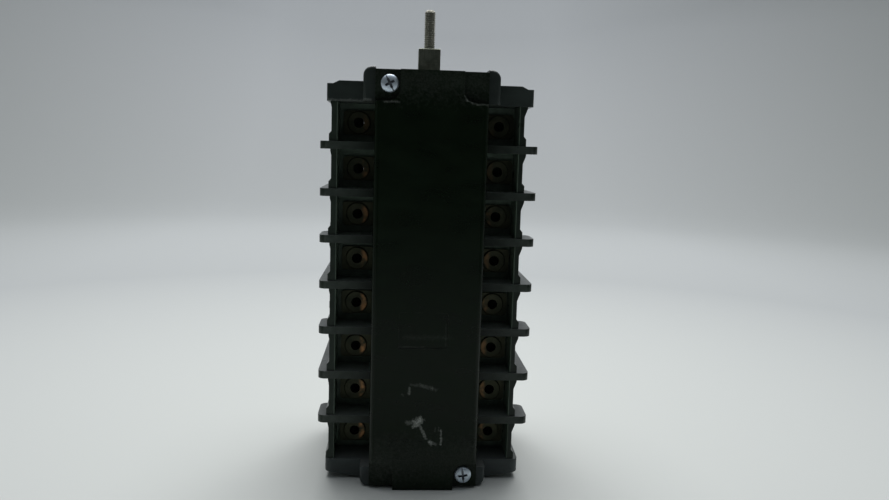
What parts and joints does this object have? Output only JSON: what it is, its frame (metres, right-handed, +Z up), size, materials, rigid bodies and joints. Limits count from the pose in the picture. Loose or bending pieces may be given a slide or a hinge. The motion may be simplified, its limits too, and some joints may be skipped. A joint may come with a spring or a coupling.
{
  "type": "rotary switch",
  "caption": "Rotary control switch: stacked moulded contact decks between two end supports, covered front and back, worked by cams on a square shaft with a stud end.",
  "frame": {"origin": "on the shaft's axis, in the plane that the switch stands on", "axes": "+Z up along the shaft towards the handle stud, -Y out of the front cover, +X to the right seen from the front"},
  "size_m": [0.0888, 0.0924, 0.1999],
  "materials": {
    "housing": "matt moulded phenolic, black",
    "support": "matt moulded phenolic, black",
    "cover": "smooth moulded phenolic, black, scuffed",
    "terminal": "tarnished copper alloy",
    "contact": "brass plunger and copper bridge",
    "silver": "tarnished silver contact tips",
    "cam": "moulded insulating cam, brown",
    "steel": "plain steel, oiled",
    "shaft_steel": "dull plated steel, brownish grey",
    "zinc_screw": "bright zinc-plated steel",
    "spring": "spring steel wire and strip",
    "bronze": "bearing bronze"
  },
  "bodies": {
    "root": {"clamping_bolts": "steel", "clamping_nuts": "steel", "deck_1_housing": "housing", "deck_1_terminals": "terminal", "deck_2_housing": "housing", "deck_2_terminals": "terminal", "deck_3_housing": "housing", "deck_3_terminals": "terminal", "deck_4_housing": "housing", "deck_4_terminals": "terminal", "deck_5_housing": "housing", "deck_5_terminals": "terminal", "deck_6_housing": "housing", "deck_6_terminals": "terminal", "deck_7_housing": "housing", "deck_7_terminals": "terminal", "deck_8_housing": "housing", "deck_8_terminals": "terminal", "detent_springs": "spring", "fixed_contact_tips": "silver", "front_contact_springs": "spring", "front_cover": "cover", "front_cover_screws": "zinc_screw", "front_support": "support", "rear_contact_springs": "spring", "rear_cover": "cover", "rear_cover_screws": "zinc_screw", "rear_support": "support", "stop_pins": "steel"},
    "shaft": {"shaft": "shaft_steel", "retaining_clip": "spring", "front_bush": "bronze", "star_wheel": "steel", "stop_arm": "steel", "deck_1_cam": "cam", "deck_2_cam": "cam", "deck_3_cam": "cam", "deck_4_cam": "cam", "deck_5_cam": "cam", "deck_6_cam": "cam", "deck_7_cam": "cam", "deck_8_cam": "cam"},
    "deck_1_front_contact": {"deck_1_front_contact": "contact"},
    "deck_1_rear_contact": {"deck_1_rear_contact": "contact"},
    "deck_2_front_contact": {"deck_2_front_contact": "contact"},
    "deck_2_rear_contact": {"deck_2_rear_contact": "contact"},
    "deck_3_front_contact": {"deck_3_front_contact": "contact"},
    "deck_3_rear_contact": {"deck_3_rear_contact": "contact"},
    "deck_4_front_contact": {"deck_4_front_contact": "contact"},
    "deck_4_rear_contact": {"deck_4_rear_contact": "contact"},
    "deck_5_front_contact": {"deck_5_front_contact": "contact"},
    "deck_5_rear_contact": {"deck_5_rear_contact": "contact"},
    "deck_6_front_contact": {"deck_6_front_contact": "contact"},
    "deck_6_rear_contact": {"deck_6_rear_contact": "contact"},
    "deck_7_front_contact": {"deck_7_front_contact": "contact"},
    "deck_7_rear_contact": {"deck_7_rear_contact": "contact"},
    "deck_8_front_contact": {"deck_8_front_contact": "contact"},
    "deck_8_rear_contact": {"deck_8_rear_contact": "contact"}
  },
  "joints": [
    {"name": "shaft_turn", "type": "hinge", "parent": "root", "child": "shaft", "pos_m": [0, 0, 0], "axis": [0, 0, 1], "range_deg": [-45, 45], "deforming": ["front_contact_springs", "rear_contact_springs", "detent_springs"]},
    {"name": "deck_1_front_contact_slide", "type": "slide", "parent": "root", "child": "deck_1_front_contact", "axis": [0, -1, 0], "range_m": [-0.00118, 0.00118]},
    {"name": "deck_1_rear_contact_slide", "type": "slide", "parent": "root", "child": "deck_1_rear_contact", "axis": [0, 1, 0], "range_m": [-0.00118, 0.00118]},
    {"name": "deck_2_front_contact_slide", "type": "slide", "parent": "root", "child": "deck_2_front_contact", "axis": [0, -1, 0], "range_m": [-0.00118, 0.00118]},
    {"name": "deck_2_rear_contact_slide", "type": "slide", "parent": "root", "child": "deck_2_rear_contact", "axis": [0, 1, 0], "range_m": [-0.00118, 0.00118]},
    {"name": "deck_3_front_contact_slide", "type": "slide", "parent": "root", "child": "deck_3_front_contact", "axis": [0, -1, 0], "range_m": [-0.00118, 0.00118]},
    {"name": "deck_3_rear_contact_slide", "type": "slide", "parent": "root", "child": "deck_3_rear_contact", "axis": [0, 1, 0], "range_m": [-0.00118, 0.00118]},
    {"name": "deck_4_front_contact_slide", "type": "slide", "parent": "root", "child": "deck_4_front_contact", "axis": [0, -1, 0], "range_m": [-0.00118, 0.00118]},
    {"name": "deck_4_rear_contact_slide", "type": "slide", "parent": "root", "child": "deck_4_rear_contact", "axis": [0, 1, 0], "range_m": [-0.00118, 0.00118]},
    {"name": "deck_5_front_contact_slide", "type": "slide", "parent": "root", "child": "deck_5_front_contact", "axis": [0, -1, 0], "range_m": [-0.00118, 0.00118]},
    {"name": "deck_5_rear_contact_slide", "type": "slide", "parent": "root", "child": "deck_5_rear_contact", "axis": [0, 1, 0], "range_m": [-0.00118, 0.00118]},
    {"name": "deck_6_front_contact_slide", "type": "slide", "parent": "root", "child": "deck_6_front_contact", "axis": [0, -1, 0], "range_m": [-0.00118, 0.00118]},
    {"name": "deck_6_rear_contact_slide", "type": "slide", "parent": "root", "child": "deck_6_rear_contact", "axis": [0, 1, 0], "range_m": [-0.00118, 0.00118]},
    {"name": "deck_7_front_contact_slide", "type": "slide", "parent": "root", "child": "deck_7_front_contact", "axis": [0, -1, 0], "range_m": [-0.00118, 0.00118]},
    {"name": "deck_7_rear_contact_slide", "type": "slide", "parent": "root", "child": "deck_7_rear_contact", "axis": [0, 1, 0], "range_m": [-0.00118, 0.00118]},
    {"name": "deck_8_front_contact_slide", "type": "slide", "parent": "root", "child": "deck_8_front_contact", "axis": [0, -1, 0], "range_m": [-0.00118, 0.00118]},
    {"name": "deck_8_rear_contact_slide", "type": "slide", "parent": "root", "child": "deck_8_rear_contact", "axis": [0, 1, 0], "range_m": [-0.00118, 0.00118]}
  ],
  "couplings": [
    {"joint": "deck_1_front_contact_slide", "follows": "shaft_turn", "m_per_rad": 0.0015},
    {"joint": "deck_1_rear_contact_slide", "follows": "shaft_turn", "m_per_rad": -0.0015},
    {"joint": "deck_2_front_contact_slide", "follows": "shaft_turn", "m_per_rad": -0.0015},
    {"joint": "deck_2_rear_contact_slide", "follows": "shaft_turn", "m_per_rad": 0.0015},
    {"joint": "deck_3_front_contact_slide", "follows": "shaft_turn", "m_per_rad": 0.0015},
    {"joint": "deck_3_rear_contact_slide", "follows": "shaft_turn", "m_per_rad": -0.0015},
    {"joint": "deck_4_front_contact_slide", "follows": "shaft_turn", "m_per_rad": -0.0015},
    {"joint": "deck_4_rear_contact_slide", "follows": "shaft_turn", "m_per_rad": 0.0015},
    {"joint": "deck_5_front_contact_slide", "follows": "shaft_turn", "m_per_rad": 0.0015},
    {"joint": "deck_5_rear_contact_slide", "follows": "shaft_turn", "m_per_rad": -0.0015},
    {"joint": "deck_6_front_contact_slide", "follows": "shaft_turn", "m_per_rad": -0.0015},
    {"joint": "deck_6_rear_contact_slide", "follows": "shaft_turn", "m_per_rad": 0.0015},
    {"joint": "deck_7_front_contact_slide", "follows": "shaft_turn", "m_per_rad": 0.0015},
    {"joint": "deck_7_rear_contact_slide", "follows": "shaft_turn", "m_per_rad": -0.0015},
    {"joint": "deck_8_front_contact_slide", "follows": "shaft_turn", "m_per_rad": -0.0015},
    {"joint": "deck_8_rear_contact_slide", "follows": "shaft_turn", "m_per_rad": 0.0015}
  ]
}
